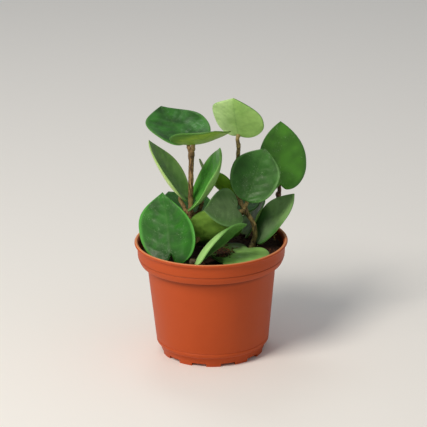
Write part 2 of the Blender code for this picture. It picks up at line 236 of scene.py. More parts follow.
def turned(name, outline, sides):
    """A round body: one circle, extruded and resized along an outline of radius and height."""
    start_clean()
    first_radius, first_height = outline[0]
    bpy.ops.mesh.primitive_circle_add(
        vertices=sides, radius=first_radius * MM, location=(0.0, 0.0, first_height * MM)
    )
    body = bpy.context.object
    body.name = name
    bpy.ops.object.transform_apply(location=True, rotation=False, scale=False)
    bpy.ops.object.mode_set(mode="EDIT")
    bpy.ops.mesh.select_all(action="SELECT")
    for (radius, height), (next_radius, next_height) in zip(outline, outline[1:]):
        climb = (0.0, 0.0, (next_height - height) * MM)
        bpy.ops.mesh.extrude_region_move(TRANSFORM_OT_translate={"value": climb})
        widen = next_radius / radius
        bpy.ops.transform.resize(
            value=(widen, widen, 1.0), center_override=(0.0, 0.0, next_height * MM)
        )
    bpy.ops.mesh.merge(type="CENTER")
    bpy.ops.object.mode_set(mode="OBJECT")
    for vertex in body.data.vertices:
        near_pole = math.hypot(vertex.co.x, vertex.co.y) < 1.01 * POLE_RADIUS * MM
        vertex.select = near_pole and abs(vertex.co.z - first_height * MM) < 0.01 * MM
    bpy.ops.object.mode_set(mode="EDIT")
    bpy.ops.mesh.select_mode(type="VERT")
    bpy.ops.mesh.merge(type="CENTER")
    bpy.ops.mesh.select_all(action="SELECT")
    bpy.ops.mesh.normals_make_consistent(inside=False)
    bpy.ops.object.mode_set(mode="OBJECT")
    return body


def report(piece):
    """Prints a piece's size in mm and its face count."""
    size = [round(d / MM, 1) for d in piece.dimensions]
    print(piece.name, "size", size, "faces", len(piece.data.polygons))


# %% Turn the pot
# Each outline is a row of points, with their radius and height in mm.
inside_outline = [
    (POLE_RADIUS, FLOOR_TOP), (20.0, FLOOR_TOP), (33.6, FLOOR_TOP), (35.3, FLOOR_TOP + 2.9),
    (BODY_BOTTOM_RADIUS - WALL - 0.7, 8.4), (BODY_BOTTOM_RADIUS - WALL - 0.1, 9.2),
    (BODY_TOP_RADIUS - WALL, 67.4), (48.8, 67.6), (49.2, 68.2), (50.6, 72.0), (51.0, 79.8),
    (51.2, POT_HEIGHT - 1.4),
]
lip_outline = arc((RIM_RADIUS - LIP_ROUND, POT_HEIGHT - LIP_ROUND), LIP_ROUND, 165.0, -50.0, 10)
band_outline = [
    (52.5, POT_HEIGHT - 2.5), (52.3, POT_HEIGHT - 3.0), (52.05, 76.0), (51.95, 72.6), (51.65, 72.3),
    (51.6, 71.8), (51.8, 71.5), (51.2, 69.6), (50.4, 67.7), (50.0, 67.0), (49.4, 66.8), (47.2, 66.7),
    (46.2, 66.5), (BODY_TOP_RADIUS + 0.1, 66.0), (BODY_TOP_RADIUS, 65.4),
]
foot_outline = [
    (BODY_BOTTOM_RADIUS + 0.25, 11.2), (BODY_BOTTOM_RADIUS - 0.1, 10.9), (BODY_BOTTOM_RADIUS - 0.1, 10.5),
    (BODY_BOTTOM_RADIUS + 0.15, 10.2), (BODY_BOTTOM_RADIUS, 8.4), (39.4, 7.5), (FOOT_RADIUS + 0.6, 6.3),
    (FOOT_RADIUS, 0.0), (33.4, 0.0), (33.0, FLOOR_UNDERSIDE), (CENTRE_PAD_RADIUS + 0.6, FLOOR_UNDERSIDE),
    (CENTRE_PAD_RADIUS, 0.0), (POLE_RADIUS, 0.0),
]
pot = turned("nursery_pot", inside_outline + lip_outline + band_outline + foot_outline, POT_SIDES)
report(pot)

# %% Cut the notches and the drain holes
NOTCH_COUNT = 11
NOTCH_WIDTH = 10.5
NOTCH_HEIGHT = 2.2
NOTCH_TURN = 0.6
DRAIN_COUNT = 6
DRAIN_RADIUS = 3.5
DRAIN_CIRCLE = 26.0
NOTCH_REACH = 14.0
CUT_DEPTH = 5.0
CUT_MIDDLE = 3.0
EDGE_ROUND = 0.2

cutters = []
for i in range(NOTCH_COUNT):
    turn = math.radians(NOTCH_TURN + (i + 0.5) * 360.0 / NOTCH_COUNT)
    start_clean()
    bpy.ops.mesh.primitive_cube_add(
        size=1.0,
        scale=(NOTCH_WIDTH * MM, NOTCH_REACH * MM, 2.0 * NOTCH_HEIGHT * MM),
        location=(FOOT_RADIUS * MM * math.sin(turn), -FOOT_RADIUS * MM * math.cos(turn), 0.0),
        rotation=(0.0, 0.0, turn),
    )
    cutters.append(bpy.context.object)
for i in range(DRAIN_COUNT):
    turn = math.radians((i + 0.25) * 360.0 / DRAIN_COUNT)
    start_clean()
    bpy.ops.mesh.primitive_cylinder_add(
        vertices=32, radius=DRAIN_RADIUS * MM, depth=CUT_DEPTH * MM,
        location=(DRAIN_CIRCLE * MM * math.cos(turn), DRAIN_CIRCLE * MM * math.sin(turn), CUT_MIDDLE * MM),
    )
    cutters.append(bpy.context.object)
cutter = make_active(*cutters)
bpy.ops.object.join()
apply_modifier(pot, "BOOLEAN", operation="DIFFERENCE", object=cutter, solver="EXACT")
bpy.data.objects.remove(cutter, do_unlink=True)
sharp = math.radians(40.0)
apply_modifier(pot, "BEVEL", width=EDGE_ROUND * MM, segments=2, limit_method="ANGLE", angle_limit=sharp)
make_active(pot)
bpy.ops.object.shade_smooth_by_angle(angle=math.radians(35.0))
report(pot)

# %% [markdown]
# ### Moulded polypropylene
# The pot is polypropylene coloured right through to look like terracotta. It comes from the mould with a fine
# even grain, which gives a soft sheen and no sharp reflections. Polypropylene's IOR is 1.49. The colour
# varies very little, so a broad, faint cloud of noise is enough, with a fine grain in the bump. Inside the
# collar, above the soil, the wall is darkened, thinning out towards the lip: partly a film left by watering,
# partly painted shade. It is found by its distance from the pot's axis and by its height. Painted shade also
# darkens the crease in the collar and the corner under it, and a painted highlight pales the crest of the lip.

# %% Finish of the pot
PLASTIC_GRAIN = 0.45
PLASTIC_CLOUD = 26.0
# Inside the collar the wall is darkened, partly by a film left by watering and partly by painted shade.
FILM_AND_SHADE_RADIUS = 51.6
FILM_AND_SHADE_AMOUNT = 0.8
# The creases hold painted shade: the crease in the collar and the corner under the collar.
PAINTED_CREASE_SHADE = ((62.4, 65.0, 66.8, 0.55), (71.3, 71.9, 72.6, 0.4))
# The dark brown of that film, of its painted shade, and of the painted shade in the creases.
DIRT_AND_SHADE = "#43200f"


def object_place(material):
    """A material's Object coordinates. They run in metres."""
    return add_node("TexCoord", tree=material.node_tree).outputs["Object"]


def cloud_of(place, size, detail=3.0, roughness=0.55):
    """Noise with patches of a size in mm."""
    return add_node("TexNoise", inputs={
        "Vector": place, "Scale": 1000.0 / size, "Detail": detail, "Roughness": roughness,
    }).outputs["Fac"]


def maths(operation, *values):
    """One Math node's output."""
    return add_node("Math", {"operation": operation}, dict(enumerate(values))).outputs["Value"]


def times(first, *others):
    """The product of outputs and numbers, one Math node after another."""
    for other in others:
        first = maths("MULTIPLY", first, other)
    return first


def ramp(value, low, high, out_low=0.0, out_high=1.0, kind="SMOOTHSTEP"):
    """A step from one value to another, smooth or "LINEAR"."""
    return add_node("MapRange", {"interpolation_type": kind}, {
        "Value": value, "From Min": low, "From Max": high, "To Min": out_low, "To Max": out_high,
    }).outputs["Result"]


def ramp_in_mm(value, low, high):
    """A plain step in a length, from one measure in mm to another."""
    return ramp(value, low * MM, high * MM, kind="LINEAR")


def mix_colour(factor, first, second):
    """Mixes two colours: each is a hex code or an output."""
    a, b = (linear(colour) if isinstance(colour, str) else colour for colour in (first, second))
    mixed = add_node("Mix", {"data_type": "RGBA"}, {"Factor": factor, "A": a, "B": b})
    return mixed.outputs["Result"]


def bump_of(height, strength, depth, **more):
    """The normal that a height gives when its full range is a depth in mm."""
    return add_node("Bump", inputs={
        "Strength": strength, "Distance": depth * MM, "Height": height, **more,
    }).outputs["Normal"]


plastic, plastic_shader = new_material("moulded_polypropylene")
place = object_place(plastic)
flattened = add_node("VectorMath", {"operation": "MULTIPLY"}, {0: place, 1: (1.0, 1.0, 0.0)})
axis_gap = add_node("VectorMath", {"operation": "LENGTH"}, {0: flattened.outputs["Vector"]})
height = add_node("SeparateXYZ", inputs={"Vector": place}).outputs["Z"]
cloud = cloud_of(place, PLASTIC_CLOUD)
colour = mix_colour(cloud, "#aa4419", "#b54c1d")
inside = ramp_in_mm(axis_gap.outputs["Value"], FILM_AND_SHADE_RADIUS + 0.3, FILM_AND_SHADE_RADIUS - 0.3)
below_lip = ramp_in_mm(height, POT_HEIGHT - 1.2, POT_HEIGHT - 4.0)
above_soil = ramp_in_mm(height, 73.0, 74.0)
# Darker inside the collar, above the soil and below the lip: a watering film with painted shade.
colour = mix_colour(times(FILM_AND_SHADE_AMOUNT, inside, below_lip, above_soil), colour, DIRT_AND_SHADE)
# Painted shade in the collar's crease and in the corner under the collar.
for foot, darkest, top, amount in PAINTED_CREASE_SHADE:
    crease_shade = times(amount, ramp_in_mm(height, foot, darkest), ramp_in_mm(height, top, darkest))
    colour = mix_colour(crease_shade, colour, DIRT_AND_SHADE)
# A painted highlight along the crest of the lip.
colour = mix_colour(ramp_in_mm(height, POT_HEIGHT - 0.55, POT_HEIGHT - 0.2), colour, "#d4875a")
fill(plastic_shader, {
    "Base Color": colour, "IOR": 1.49, "Specular IOR Level": 0.22,
    "Roughness": ramp(cloud, 0.3, 0.7, 0.45, 0.55, kind="LINEAR"),
    "Normal": bump_of(cloud_of(place, PLASTIC_GRAIN, 2.0, 0.6), 0.12, 0.1),
})
dress(pot, plastic)

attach(pot, "root")
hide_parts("pot")
print("pot finished with", plastic.name)

# %% [markdown]
# ## The potting mix
# The pot holds a dark mix of peat and fine bark. Seen close, its surface is loose crumbs on a bumpy ground.
# The ground is turned like the pot, with many rings across its top, and each point of the top is then raised
# or lowered by noise. It is slightly domed, and heaped a little against the wall on the right. The crumbs are
# one small pebble made from an icosphere, copied a few hundred times with a new size, squeeze and turn each
# time, and joined into one piece for each colour.

# %% The ground
soil_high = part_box("soil")[1]
SOIL_TOP = soil_high.z / MM
SOIL_RADIUS = soil_high.x / MM
SOIL_FALL = 2.2
SOIL_RINGS = 56
SOIL_SIDES = 150
CLOD_SIZE = 7.0
CLOD_HEIGHT = 0.5
CRUMB_SIZE = 1.6
CRUMB_HEIGHT = 0.35
HEAP_HEIGHT = 3.0
HEAP_SPREAD = 180.0
WALL_GAP = 0.3


def soil_height(x, y):
    """The ground's height in mm: a slight dome, a low heap on the right, and clods and crumbs of noise."""
    dome = SOIL_TOP - SOIL_FALL * (math.hypot(x, y) / SOIL_RADIUS) ** 2
    clods = noise.noise(Vector((x / CLOD_SIZE, y / CLOD_SIZE, 0.3)))
    crumbs = noise.noise(Vector((x / CRUMB_SIZE, y / CRUMB_SIZE, 4.1)))
    heap = HEAP_HEIGHT * math.exp(-((x - 47.0) ** 2 + (y - 12.0) ** 2) / HEAP_SPREAD)
    return dome + heap + CLOD_HEIGHT * clods + CRUMB_HEIGHT * crumbs


top_outline = [
    (SOIL_RADIUS + (POLE_RADIUS - SOIL_RADIUS) * i / SOIL_RINGS, SOIL_TOP) for i in range(SOIL_RINGS + 1)
]
side_outline = [
    (POLE_RADIUS, FLOOR_TOP + WALL_GAP), (33.3, FLOOR_TOP + WALL_GAP), (34.9, FLOOR_TOP + 3.1),
    (BODY_BOTTOM_RADIUS - WALL - 1.0, 8.7), (BODY_BOTTOM_RADIUS - WALL - 0.5, 9.3),
    (BODY_TOP_RADIUS - WALL - 0.4, 67.7), (48.4, 68.0), (48.8, 68.5), (SOIL_RADIUS, 72.0),
]
ground = turned("soil_ground", side_outline + top_outline, SOIL_SIDES)
for vertex in ground.data.vertices:
    if vertex.co.z > (SOIL_TOP - 0.1) * MM:
        vertex.co.z = soil_height(vertex.co.x / MM, vertex.co.y / MM) * MM
ground.data.shade_smooth()
report(ground)


# %% [markdown]
# ### Peat, bark and a little grit
# Peat and composted bark are almost black when moist and dead matt. What makes them read as soil is that no
# two crumbs have quite the same brown. The ground and the peat crumbs mix two dark browns by a noise of crumb
# size. The bark crumbs have a lighter brown, and a few pale specks of grit catch the light.

# %% Finishes of the potting mix
def crumbly(name, dark, light, crumb):
    """A dead matt material that mixes two browns in patches of the given size in mm."""
    material, shader = new_material(name)
    patches = cloud_of(object_place(material), crumb, 4.0, 0.7)
    fill(shader, {
        "Base Color": mix_colour(ramp(patches, 0.35, 0.68, kind="LINEAR"), dark, light),
        "Roughness": 0.92, "Specular IOR Level": 0.25, "Normal": bump_of(patches, 0.6, 0.25),
    })
    return material


moist_peat = crumbly("moist_peat", "#1c120c", "#40291c", 1.4)
bark_brown = crumbly("composted_bark", "#3a2214", "#6e4527", 1.0)
pale_grit = crumbly("pale_grit", "#9c8766", "#cdbb98", 0.7)
dress(ground, moist_peat)


# %% Crumbs
def crumb_master():
    """One pebble: an icosphere whose points are pushed in and out by noise."""
    start_clean()
    bpy.ops.mesh.primitive_ico_sphere_add(subdivisions=2, radius=1.0)
    made = bpy.context.object
    for vertex in made.data.vertices:
        push = 1.0 + 0.45 * noise.noise(vertex.co * 1.3)
        vertex.co = vertex.co * push
    return made


def scatter(name, master, material, count, spots, sizes, seed):
    """Copies the master to places on the soil and joins the copies into one piece."""
    draw = random.Random(seed)
    copies = []
    for _ in range(count):
        x, y, z = spots(draw)
        size = draw.uniform(*sizes) * draw.uniform(0.6, 1.0)
        copy = add_object(name, master.data.copy())
        squeeze = Matrix.Diagonal((1.0, draw.uniform(0.55, 1.0), draw.uniform(0.35, 0.7), 1.0))
        turn = Matrix.Rotation(draw.uniform(0.0, math.tau), 4, "Z")
        tip = Matrix.Rotation(draw.uniform(-0.5, 0.5), 4, "X")
        move = Matrix.Translation(Vector((x, y, z + 0.15 * size)) * MM)
        copy.data.transform(move @ turn @ tip @ Matrix.Scale(size * MM, 4) @ squeeze)
        copies.append(copy)
    piece = make_active(*copies)
    bpy.ops.object.join()
    piece.data.name = name
    dress(piece, material)
    piece.data.shade_smooth()
    report(piece)
    return piece


def on_the_ground(draw):
    """A random place on the soil, spread evenly, some 3 mm in from the pot's wall."""
    turn = draw.uniform(0.0, math.tau)
    reach = (SOIL_RADIUS - 3.0) * math.sqrt(draw.random())
    x = reach * math.cos(turn)
    y = reach * math.sin(turn)
    return x, y, soil_height(x, y)


crumb = crumb_master()
soil_pieces = [
    ground,
    scatter("peat_crumbs", crumb, moist_peat, 420, on_the_ground, (0.5, 1.3), 11),
    scatter("bark_crumbs", crumb, bark_brown, 150, on_the_ground, (0.4, 1.2), 12),
    scatter("grit_specks", crumb, pale_grit, 16, on_the_ground, (0.25, 0.6), 13),
]
for piece in soil_pieces:
    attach(piece, "root")
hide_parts("soil")

# %% [markdown]
# ## The leaves
# A hoya's leaf is a fleshy blade, about 1.5 mm thick, broad and rounded with a short point, and often cupped
# along its midrib. The pairs face every way, so each leaf is given by numbers that a gardener could measure:
# where its midrib starts and ends, which way its upper side faces, its width, how far each half turns up,
# and how far the midrib curls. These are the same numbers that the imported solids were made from, so the fine
# blades lie where the plain ones are.

# %% The leaves, measured
# base and tip are in mm. cup is the turn of the right and the left half, and bend the midrib's, in degrees.
# lobe is how far each basal lobe reaches behind the stalk, and skew how far the left half runs ahead, in mm.
# widest, neck and point shape the outline. twist turns the tip against the base, in degrees. What a leaf
# doesn't give is as usual.
USUAL = dict(
    cup=(20, 20), bend=-10, lobe=(3, 3), widest=0.42, neck=0.3, point=0.95, skew=0.0, twist=0.0)
LEAVES = dict(
    top_left=dict(base=(-14, 8, 151), tip=(-34, 48, 166.3), faces=(0.13, -0.25, 0.95), width=46,
        cup=(22, 19), bend=-15, lobe=(2, 2)),
    top_front=dict(base=(-12, 2, 152), tip=(3, -32, 171), faces=(-0.12, 0.45, 0.88), width=43,
        cup=(22, 20), bend=-8),
    top_right=dict(base=(20.6, 10, 155), tip=(16.6, -9, 187.6), faces=(0.33, 0.81, 0.49), width=39.5,
        cup=(30, 12), lobe=(1, 1), neck=0.2),
    right_tall=dict(base=(49.5, 24, 113.8), tip=(50, 24, 160.8), faces=(0.20, -0.90, 0.12), width=38,
        cup=(22, 45), lobe=(4, 4), widest=0.35),
    centre_round=dict(base=(25, 0, 110), tip=(39, 11, 145), faces=(-0.20, -0.93, 0.40), width=36,
        lobe=(0, 0), widest=0.5, neck=0.1),
    centre_small=dict(base=(18.6, -4, 105.6), tip=(-5.6, -20, 110.8), faces=(0.48, -0.51, 0.72), width=31,
        cup=(40, 12), bend=-5, lobe=(2, 2), widest=0.3, point=1.5, skew=1.5),
    front_left=dict(base=(-27.8, -24.5, 80.6), tip=(-33.3, -1, 118), faces=(-0.35, -0.72, 0.60), width=43,
        cup=(25, 3), lobe=(9, 5), widest=0.36, neck=0.15, point=1.2, skew=6),
    back_left=dict(base=(-10, 17, 91), tip=(-30, 45, 103), faces=(0.12, -0.30, 0.90), width=40),
    left_upright=dict(base=(-18.2, 9.6, 110.3), tip=(-42.5, 16.6, 150.8), faces=(0.79, -0.14, 0.56), width=37,
        cup=(44, 38), bend=-29, neck=0.2),
    middle_upright=dict(base=(-9.6, 4.6, 109.5), tip=(7.2, -3, 150.4), faces=(-0.78, -0.30, 0.50), width=37,
        cup=(66, 22), bend=-56, lobe=(9, 2), point=1.1),
    middle_back=dict(base=(15.8, 23, 105.8), tip=(-7.2, 29, 132.5), faces=(0.66, 0.36, 0.66), width=37,
        cup=(50, 50), bend=-52, lobe=(2, 2), point=2.0),
    hidden_back=dict(base=(21, 18, 96.5), tip=(25, 42, 101), faces=(0.00, -0.30, 0.95), width=25,
        cup=(25, 25), bend=-15, lobe=(2, 6)),
    low_middle=dict(base=(-10, -2, 84), tip=(22, -9, 97), faces=(-0.20, 0.94, 0.26), width=38,
        cup=(35, 62), bend=-15, lobe=(4, 5)),
    front_curled=dict(base=(-11, -43, 79), tip=(25, -31, 103.8), faces=(0.64, -0.39, -0.67), width=34,
        cup=(38, 30), bend=-62, lobe=(1, 1), twist=20),
    front_flat=dict(base=(26, -5, 76.5), tip=(8, -40, 78.4), faces=(0.00, 0.00, 1.00), width=42,
        cup=(10, 2), bend=-5, lobe=(5, 5)),
    right_low=dict(base=(32, 8, 76), tip=(59.3, 16, 109.6), faces=(-0.71, -0.25, 0.65), width=37,
        cup=(25, 25), lobe=(0, 0), widest=0.50, neck=0.1),
    right_inner=dict(base=(25, 21, 77.7), tip=(38.5, 31, 102.6), faces=(-0.86, -0.15, 0.48), width=31,
        cup=(30, 30), lobe=(3, 1)),
    low_back=dict(base=(12, 34, 79), tip=(-14, 40, 88), faces=(0.10, -0.20, 0.97), width=32),
)
LEAVES = {name: {**USUAL, **leaf} for name, leaf in LEAVES.items()}
LEAF_THICKNESS = 1.6
print("leaves:", len(LEAVES))


# %% [markdown]
# ### From numbers to a surface
# Two numbers name a point of the blade: its share of the way up the midrib, and its side, from -1 at the left
# margin to 1 at the right. The midrib is an arc. The halves are arcs as well, seen along the midrib, so every
# blade is a smooth curved sheet. Working on whole arrays with numpy bends thousands of points at once.

# %% The blade's surface
def unit(vector):
    """The vector at length 1."""
    vector = np.array(vector, dtype=float)
    return vector / np.linalg.norm(vector)


def leaf_frame(leaf):
    """Directions along the midrib, across the blade, and out of its upper side."""
    along = unit(np.subtract(leaf["tip"], leaf["base"]))
    across = unit(np.cross(along, leaf["faces"]))
    return along, across, np.cross(across, along)


def half_width(share, leaf):
    """Half width at a share of the midrib, as a share of the full half width."""
    widest = leaf["widest"]
    neck = leaf["neck"]
    rise = np.clip(1.0 - share / widest, 0.0, 1.0)
    fall = np.clip((share - widest) / (1.0 - widest), 0.0, 1.0)
    lower = neck + (1.0 - neck) * np.sqrt(1.0 - rise**2)
    upper = np.maximum(np.cos(math.pi / 2 * fall**1.25), 0.0) ** leaf["point"]
    return np.where(share < widest, lower, upper)


def blade_surface(leaf, share, side):
    """Places in mm of points on the blade's middle sheet, their normals, and their way from the midrib."""
    along, across, upper = leaf_frame(leaf)
    half = leaf["width"] / 2.0
    chord = float(np.linalg.norm(np.subtract(leaf["tip"], leaf["base"])))
    bend = math.radians(leaf["bend"])
    arc_radius = chord / (2.0 * math.sin(bend / 2.0))
    length = arc_radius * bend
    reach = np.abs(side)
    lobe = np.where(side > 0, leaf["lobe"][0], leaf["lobe"][1])
    back = lobe * (1.0 - share) ** 2 * np.sin(math.pi / 2 * reach)
    back = back + leaf["skew"] * side * np.sin(math.pi * share)
    slope = (bend / 2.0 - bend * (share - back / length))[:, None]
    forward = arc_radius * (math.sin(bend / 2.0) - np.sin(slope))
    rise = arc_radius * (np.cos(slope) - math.cos(bend / 2.0))
    normal = np.cos(slope) * upper - np.sin(slope) * along
    turn = (math.radians(leaf["twist"]) * (share - 0.5))[:, None]
    sideways = np.cos(turn) * across + np.sin(turn) * normal
    normal = np.cos(turn) * normal - np.sin(turn) * across
    out_of_midrib = reach * half * half_width(share, leaf)
    right, left = (math.radians(c) / half for c in leaf["cup"])
    cup = np.where(side > 0, right, left)
    angle = cup * out_of_midrib
    out = (np.sin(angle) / cup)[:, None] * np.sign(side)[:, None]
    up = ((1.0 - np.cos(angle)) / cup)[:, None]
    places = np.array(leaf["base"]) + forward * along + rise * upper + out * sideways + up * normal
    facing = np.cos(angle)[:, None] * normal - (np.sin(angle) * np.sign(side))[:, None] * sideways
    return places, facing, out_of_midrib


# %% [markdown]
# ### One flat blade for all
# The leaves differ only in how they are bent, so one flat blade is modelled and copied. It is a grid,
# two units wide and one long, given a wall by Solidify and rounded by Subdivision Surface, which turns its
# square rim into the soft, full margin of a succulent leaf. Its own coordinates stay with it: x becomes the
# side, y the share, and z tells the upper skin from the lower.

# %% Model the flat blade
PLATE = 0.1

start_clean()
bpy.ops.mesh.primitive_grid_add(x_subdivisions=16, y_subdivisions=22, size=2.0)
flat_blade = bpy.context.object
flat_blade.name = "flat_blade"
bpy.ops.object.mode_set(mode="EDIT")
bpy.ops.mesh.select_all(action="SELECT")
bpy.ops.transform.resize(value=(1.0, 0.5, 1.0), center_override=(0.0, 0.0, 0.0))
bpy.ops.transform.translate(value=(0.0, 0.5, 0.0))
bpy.ops.object.mode_set(mode="OBJECT")
apply_modifier(flat_blade, "SOLIDIFY", thickness=PLATE, offset=0.0)
apply_modifier(flat_blade, "SUBSURF", levels=2, render_levels=2)
flat_blade.data.shade_smooth()

flat_points = np.array([v.co for v in flat_blade.data.vertices])
flat_low, flat_high = flat_points.min(axis=0), flat_points.max(axis=0)
blade_side = 2.0 * (flat_points[:, 0] - flat_low[0]) / (flat_high[0] - flat_low[0]) - 1.0
blade_share = (flat_points[:, 1] - flat_low[1]) / (flat_high[1] - flat_low[1])
blade_skin = flat_points[:, 2] / flat_high[2]
while flat_blade.data.uv_layers:
    flat_blade.data.uv_layers.remove(flat_blade.data.uv_layers[0])
blade_map = flat_blade.data.uv_layers.new(name="blade")
for loop, spot in zip(flat_blade.data.loops, blade_map.data):
    i = loop.vertex_index
    spot.uv = (0.5 + 0.5 * blade_side[i], blade_share[i])
upper_side = flat_blade.data.attributes.new("upper_side", "FLOAT", "POINT")
upper_side.data.foreach_set("value", 0.5 + 0.5 * blade_skin)
print("flat blade:", len(flat_points), "points")


# %% [markdown]
# ### Relief
# The midrib is a groove on the upper side and a ridge below. Side veins leave it in pairs and sweep towards
# the tip. They pull the skin in a little, and the flesh between them swells, so light breaks up over a blade
# instead of lying in one clean patch. Each leaf also ripples slowly, in its own phase.

# %% Bend copies of the flat blade
VEIN_PAIRS = 6.5
VEIN_SWEEP = 1.7
MIDRIB_WIDTH = 1.1
MIDRIB_DEPTH = 0.08
VEIN_WIDTH = 0.7
VEIN_DEPTH = 0.04
SWELL = 0.07
RIPPLE = 0.35


def leaf_piece(name, leaf, seed):
    """A copy of the flat blade, bent to the leaf's numbers and given its relief."""
    draw = random.Random(seed)
    piece = add_object(name, flat_blade.data.copy())
    piece.data.name = name

    share, side, skin = blade_share, blade_side, blade_skin
    reach = np.abs(side)
    places, facing, from_midrib = blade_surface(leaf, share, side)
    upper = np.clip(skin, 0.0, 1.0)
    spacing = float(np.linalg.norm(np.subtract(leaf["tip"], leaf["base"]))) / VEIN_PAIRS

    thin = np.sqrt(np.clip((1.0 - share) / 0.10, 0.1, 1.0)) * (1.0 - 0.25 * reach**2)
    lift = skin * LEAF_THICKNESS / 2.0 * thin
    rib = (1.0 - 0.75 * share) * np.exp(-((from_midrib / MIDRIB_WIDTH) ** 2))
    lift += -MIDRIB_DEPTH * rib * np.clip(np.abs(skin), 0.0, 1.0)
    # Side veins are where the count is whole, and the flesh between two of them is at a half.
    count = share * VEIN_PAIRS - VEIN_SWEEP * reach**1.3
    off_vein = np.abs(count - np.round(count)) * spacing
    fade = np.clip(reach * 6.0, 0.0, 1.0) * np.clip((1.0 - reach) * 3.0, 0.0, 1.0)
    fade *= np.clip((1.0 - share) * 5.0, 0.0, 1.0)
    lift += -VEIN_DEPTH * fade * np.exp(-((off_vein / VEIN_WIDTH) ** 2)) * upper
    lift += SWELL * fade * (0.5 - 0.5 * np.cos(math.tau * count)) * draw.uniform(0.5, 1.0) * upper
    phases = [draw.uniform(0.0, math.tau) for _ in range(3)]
    lift += RIPPLE * reach**2 * np.sin(math.tau * 1.3 * share + phases[0]) * np.where(side > 0, 1.0, -0.8)
    lift += 0.6 * RIPPLE * reach * np.sin(math.tau * (1.1 * share + 0.8 * side) + phases[1])
    lift += 0.3 * RIPPLE * np.sin(math.tau * (2.3 * share - 1.1 * side) + phases[2]) * reach

    places = (places + facing * lift[:, None]) * MM
    piece.data.vertices.foreach_set("co", places.ravel())
    piece.data.update()
    make_active(piece)
    bpy.ops.object.mode_set(mode="EDIT")
    bpy.ops.mesh.select_all(action="SELECT")
    bpy.ops.mesh.remove_doubles(threshold=0.02 * MM)
    bpy.ops.mesh.normals_make_consistent(inside=False)
    bpy.ops.object.mode_set(mode="OBJECT")
    return piece


leaf_pieces = {}
for seed, (leaf_name, leaf) in enumerate(LEAVES.items()):
    leaf_pieces[leaf_name] = leaf_piece("blade_" + leaf_name, leaf, 100 + seed)
bpy.data.objects.remove(flat_blade, do_unlink=True)
print("blades:", len(leaf_pieces), "of", len(leaf_pieces["top_left"].data.polygons), "faces each")

# %% [markdown]
# ### Living leaf under wax
# A hoya's upper skin has a thick wax coat over deep green flesh. It is smooth, so it shines, but softly, and
# the shine breaks up over small unevenness. The veins show as slightly paler lines, and light flecks of
# trapped air lie between them. The margin has a green of its own. The lower skin has no wax: it is pale,
# matt and yellow-green, with the midrib, the veins and a thin margin a little darker. A cuticle's IOR is
# about 1.45. What follows the blade reads the blade's own map, and what is random reads Object coordinates.

# %% Finish of the leaves
MOTTLE = 12.0
FLECK = 0.9
FLECK_PATCH = 11.0
SKIN_GRAIN = 0.5
DIMPLE = 7.0
SHINE_PATCH = 9.0
UNDER_MOTTLE = 5.0


def kept_number(material, name):
    """The number of that name that is kept at every point of the mesh."""
    return add_node("Attribute", {"attribute_name": name}, tree=material.node_tree).outputs["Fac"]


